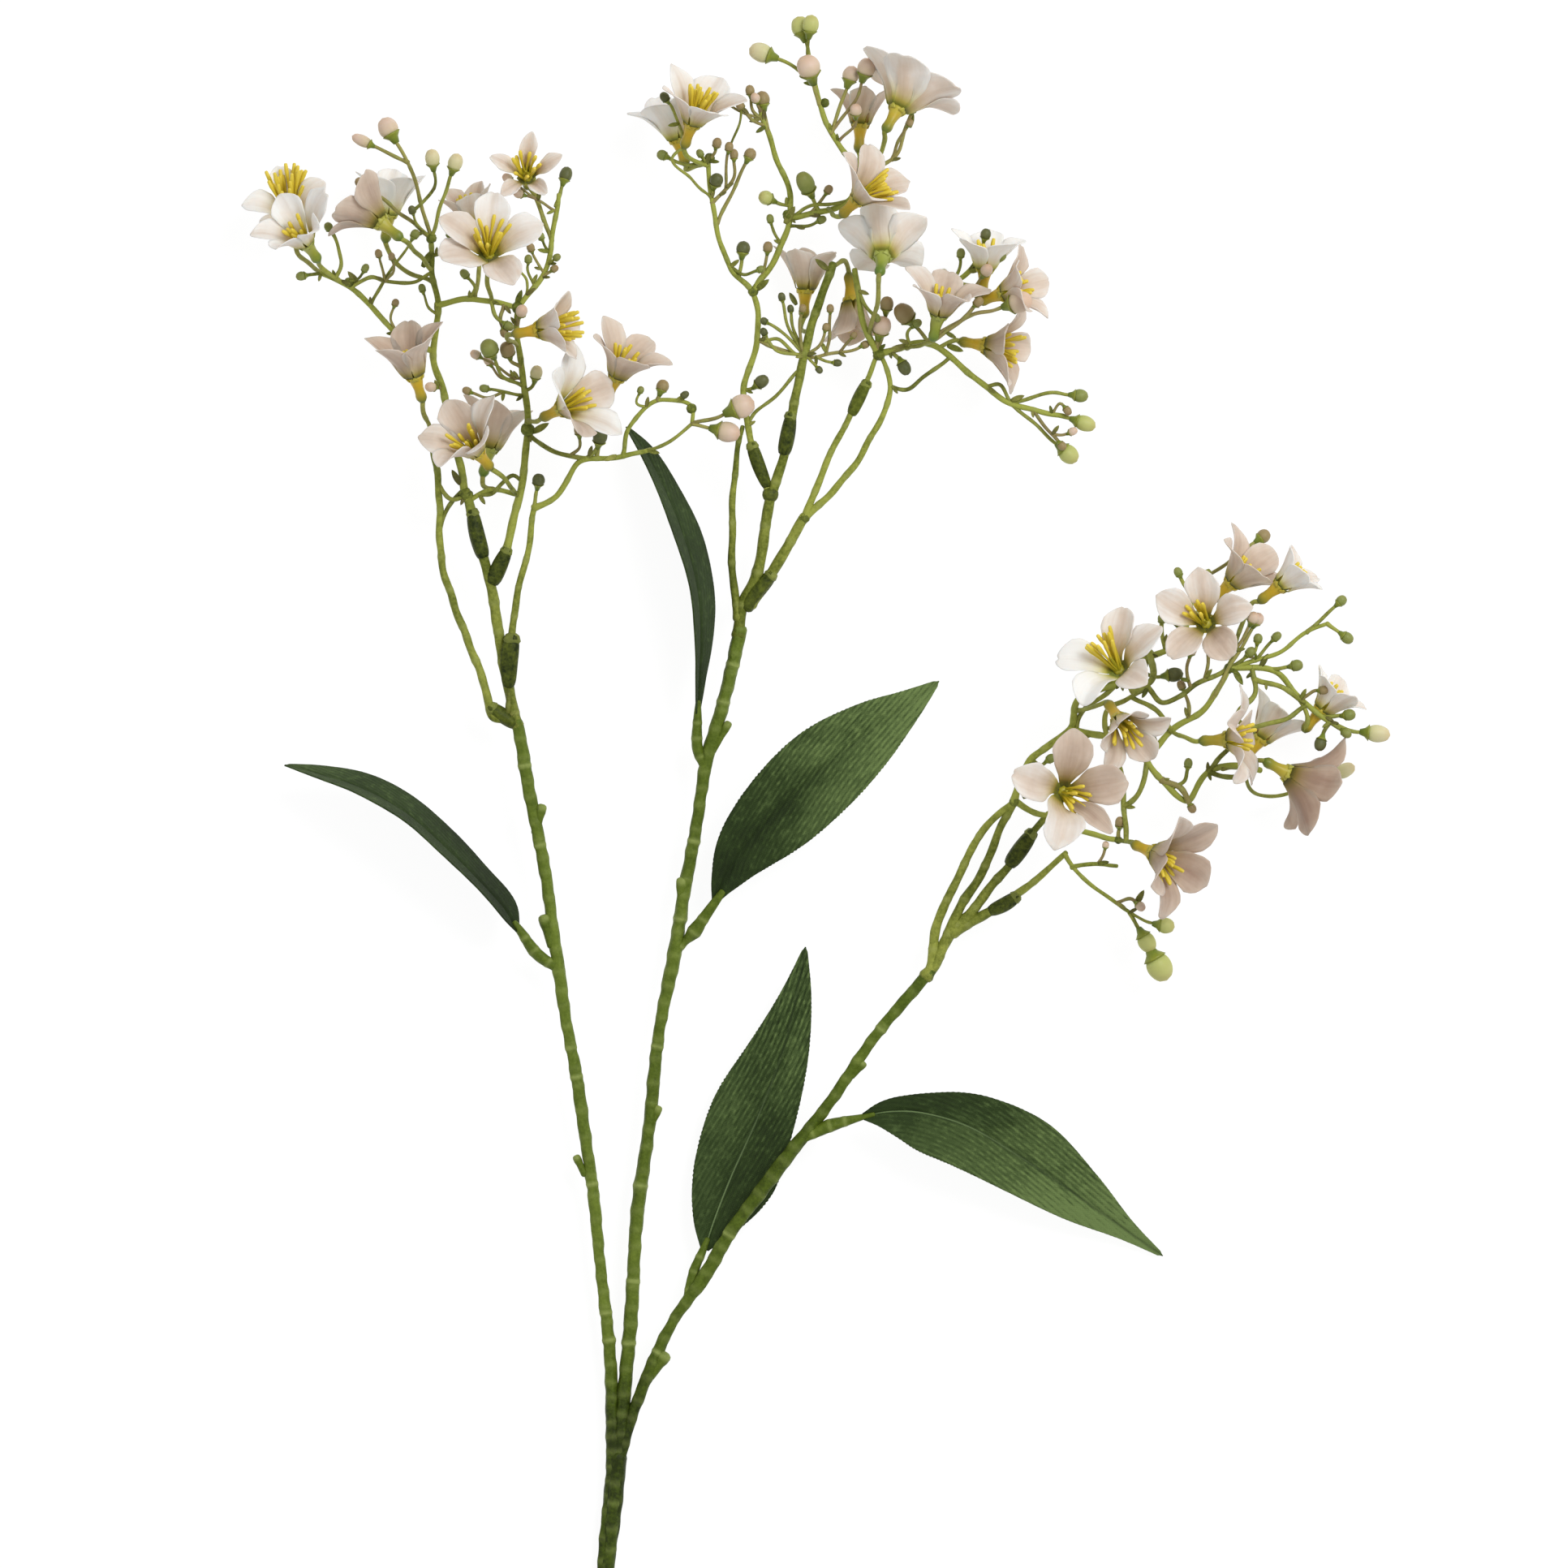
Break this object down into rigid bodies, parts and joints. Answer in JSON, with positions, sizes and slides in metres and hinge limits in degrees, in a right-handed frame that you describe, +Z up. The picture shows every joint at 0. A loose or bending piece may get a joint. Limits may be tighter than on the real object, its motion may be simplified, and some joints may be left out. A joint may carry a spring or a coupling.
{
  "type": "jasmine flower sprig",
  "caption": "Cut jasmine sprig lying flat: a forked green stem, long pointed leaves and open sprays of small pale pink-white flowers with buds.",
  "frame": {"origin": "centre of the bounding box in X and Y, on the surface that the sprig lies on", "axes": "+Y runs along the sprig from the cut end of the stem to the flower tips, +X to the right as seen from above with the flowers away from the viewer, +Z up from the surface"},
  "size_m": [0.3961, 0.5999, 0.0707],
  "materials": {
    "stem": "satin",
    "stalks": "satin",
    "leaf": "matte",
    "petals": "matte"
  },
  "bodies": {
    "root": {"leaf_large": "leaf", "leaf_left": "leaf", "leaf_lower": "leaf", "leaf_narrow": "leaf", "leaf_right": "leaf", "petals_left_1": "petals", "petals_left_10": "petals", "petals_left_11": "petals", "petals_left_12": "petals", "petals_left_13": "petals", "petals_left_2": "petals", "petals_left_3": "petals", "petals_left_4": "petals", "petals_left_5": "petals", "petals_left_6": "petals", "petals_left_7": "petals", "petals_left_8": "petals", "petals_left_9": "petals", "petals_middle_1": "petals", "petals_middle_10": "petals", "petals_middle_11": "petals", "petals_middle_12": "petals", "petals_middle_2": "petals", "petals_middle_3": "petals", "petals_middle_4": "petals", "petals_middle_5": "petals", "petals_middle_6": "petals", "petals_middle_7": "petals", "petals_middle_8": "petals", "petals_middle_9": "petals", "petals_right_1": "petals", "petals_right_10": "petals", "petals_right_11": "petals", "petals_right_2": "petals", "petals_right_3": "petals", "petals_right_4": "petals", "petals_right_5": "petals", "petals_right_6": "petals", "petals_right_7": "petals", "petals_right_8": "petals", "petals_right_9": "petals", "spray_left": "stalks", "spray_middle": "stalks", "spray_right": "stalks", "stem": "stem"}
  },
  "joints": []
}
